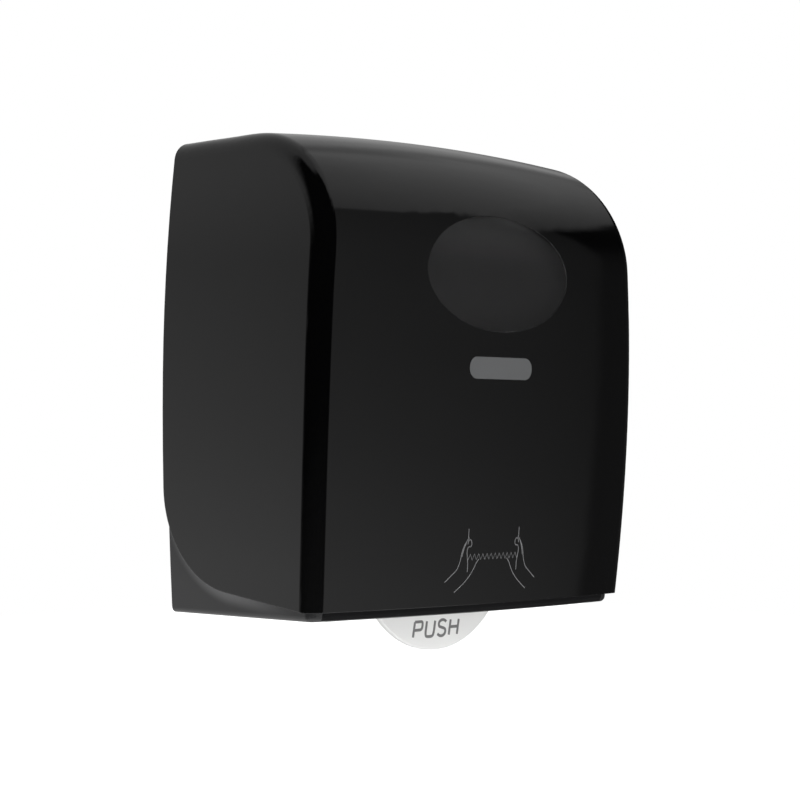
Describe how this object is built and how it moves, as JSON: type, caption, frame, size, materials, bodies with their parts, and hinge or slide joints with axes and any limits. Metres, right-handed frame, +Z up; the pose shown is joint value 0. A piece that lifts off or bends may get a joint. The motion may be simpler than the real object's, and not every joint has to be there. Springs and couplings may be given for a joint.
{
  "type": "lever paper towel dispenser",
  "caption": "Wall-mounted roll towel dispenser with a glossy black drop-down cover, smoke oval window, push lever below, feed drum with knife, sprung roll arm and lock.",
  "frame": {"origin": "centre of the four wall screw holes, on the flat back face of the rear housing", "axes": "+X to the right as seen from the front, +Y into the wall, +Z up; the front of the cover faces -Y"},
  "size_m": [0.3212, 0.1732, 0.3594],
  "materials": {
    "cover_black": "glossy moulded black",
    "window_smoke": "smoke tinted, clear gloss",
    "label_grey": "satin print",
    "housing_black": "satin gloss moulded black",
    "lever_white": "satin white moulding",
    "module_grey": "fine texture grey moulding",
    "drum_grey": "satin grey moulding",
    "grip_rubber": "matt rubber",
    "gear_white": "natural acetal",
    "steel": "bright drawn steel",
    "blade_steel": "ground stainless steel",
    "paper": "embossed tissue",
    "card": "spiral wound card",
    "hub_blue": "satin blue moulding"
  },
  "bodies": {
    "housing": {"rear_housing": "housing_black", "latch_keeper": "steel", "hinge_pin_left": "steel", "hinge_pin_right": "steel", "left_roll_arm": "module_grey", "arm_bracket": "module_grey", "arm_pin": "steel", "side_plate_left": "module_grey", "side_plate_right": "module_grey", "module_bridge": "module_grey", "towel_guide": "module_grey", "module_screws": "steel", "drum_bush_left": "gear_white", "drum_bush_right": "gear_white", "knife_cam": "gear_white", "idler_pin": "steel", "lever_spring": "steel", "index_spring": "steel"},
    "cover": {"cover_shell": "cover_black", "window": "window_smoke", "name_plate": "label_grey", "lock_barrel": "steel"},
    "lock": {"lock_plug": "steel", "lock_cam": "steel"},
    "sprung_arm": {"right_roll_arm": "module_grey"},
    "right_hub": {"right_hub": "hub_blue"},
    "roll": {"paper_roll": "paper", "roll_core": "card", "left_hub": "hub_blue"},
    "push_lever": {"push_lever": "lever_white", "lever_shaft": "steel", "sector_gear": "gear_white"},
    "idler": {"idler_gear": "gear_white"},
    "pinion": {"feed_pinion": "gear_white"},
    "drum": {"drum_front_shell": "drum_grey", "drum_rear_shell": "drum_grey", "grip_bands": "grip_rubber", "drum_cap_right": "drum_grey", "drum_cap_left": "drum_grey", "drum_shaft": "steel", "index_crank": "gear_white", "feed_wheel": "hub_blue"},
    "knife": {"knife_carrier": "module_grey", "knife_blade": "blade_steel", "knife_follower": "gear_white"},
    "press_roller": {"roller_shaft": "steel", "roller_sleeves": "grip_rubber"}
  },
  "joints": [
    {"name": "cover_hinge", "type": "hinge", "parent": "housing", "child": "cover", "pos_m": [0, -0.038, -0.1275], "axis": [1, 0, 0], "range_deg": [0, 90]},
    {"name": "lock_turn", "type": "hinge", "parent": "cover", "child": "lock", "pos_m": [0, -0.03, 0.1565], "axis": [0, 0, 1], "range_deg": [0, 90]},
    {"name": "arm_swing", "type": "hinge", "parent": "housing", "child": "sprung_arm", "pos_m": [0.112, -0.012, 0.0605], "axis": [0, 0, 1], "range_deg": [0, 9], "stiffness_Nm_per_rad": 4},
    {"name": "roll_spin", "type": "hinge", "parent": "housing", "child": "roll", "pos_m": [0, -0.086, 0.0605], "axis": [1, 0, 0], "continuous": true},
    {"name": "right_hub_spin", "type": "hinge", "parent": "sprung_arm", "child": "right_hub", "pos_m": [0, -0.086, 0.0605], "axis": [1, 0, 0], "continuous": true},
    {"name": "lever_push", "type": "hinge", "parent": "housing", "child": "push_lever", "pos_m": [0, -0.10403, -0.12748], "axis": [1, 0, 0], "range_deg": [0, 22], "stiffness_Nm_per_rad": 0.35, "springref_deg": -5.73, "deforming": ["lever_spring"]},
    {"name": "idler_turn", "type": "hinge", "parent": "housing", "child": "idler", "pos_m": [0, -0.07274, -0.09726], "axis": [1, 0, 0], "range_deg": [-58.5, 0.5]},
    {"name": "pinion_turn", "type": "hinge", "parent": "housing", "child": "pinion", "pos_m": [0, -0.082, -0.0735], "axis": [1, 0, 0], "range_deg": [-0.5, 52]},
    {"name": "drum_spin", "type": "hinge", "parent": "housing", "child": "drum", "pos_m": [0, -0.082, -0.0735], "axis": [1, 0, 0], "continuous": true, "deforming": ["index_spring"]},
    {"name": "knife_swing", "type": "hinge", "parent": "drum", "child": "knife", "pos_m": [0, -0.112, -0.0955], "axis": [1, 0, 0], "range_deg": [0, 32], "stiffness_Nm_per_rad": 0.1, "springref_deg": -5.73},
    {"name": "press_spin", "type": "hinge", "parent": "housing", "child": "press_roller", "pos_m": [0, -0.04581, -0.03037], "axis": [1, 0, 0], "continuous": true}
  ],
  "couplings": [
    {"joint": "idler_turn", "follows": "lever_push", "ratio": -2.625},
    {"joint": "pinion_turn", "follows": "lever_push", "ratio": 2.3333},
    {"joint": "press_spin", "follows": "drum_spin", "ratio": -4.0909},
    {"joint": "right_hub_spin", "follows": "roll_spin", "ratio": 1}
  ]
}
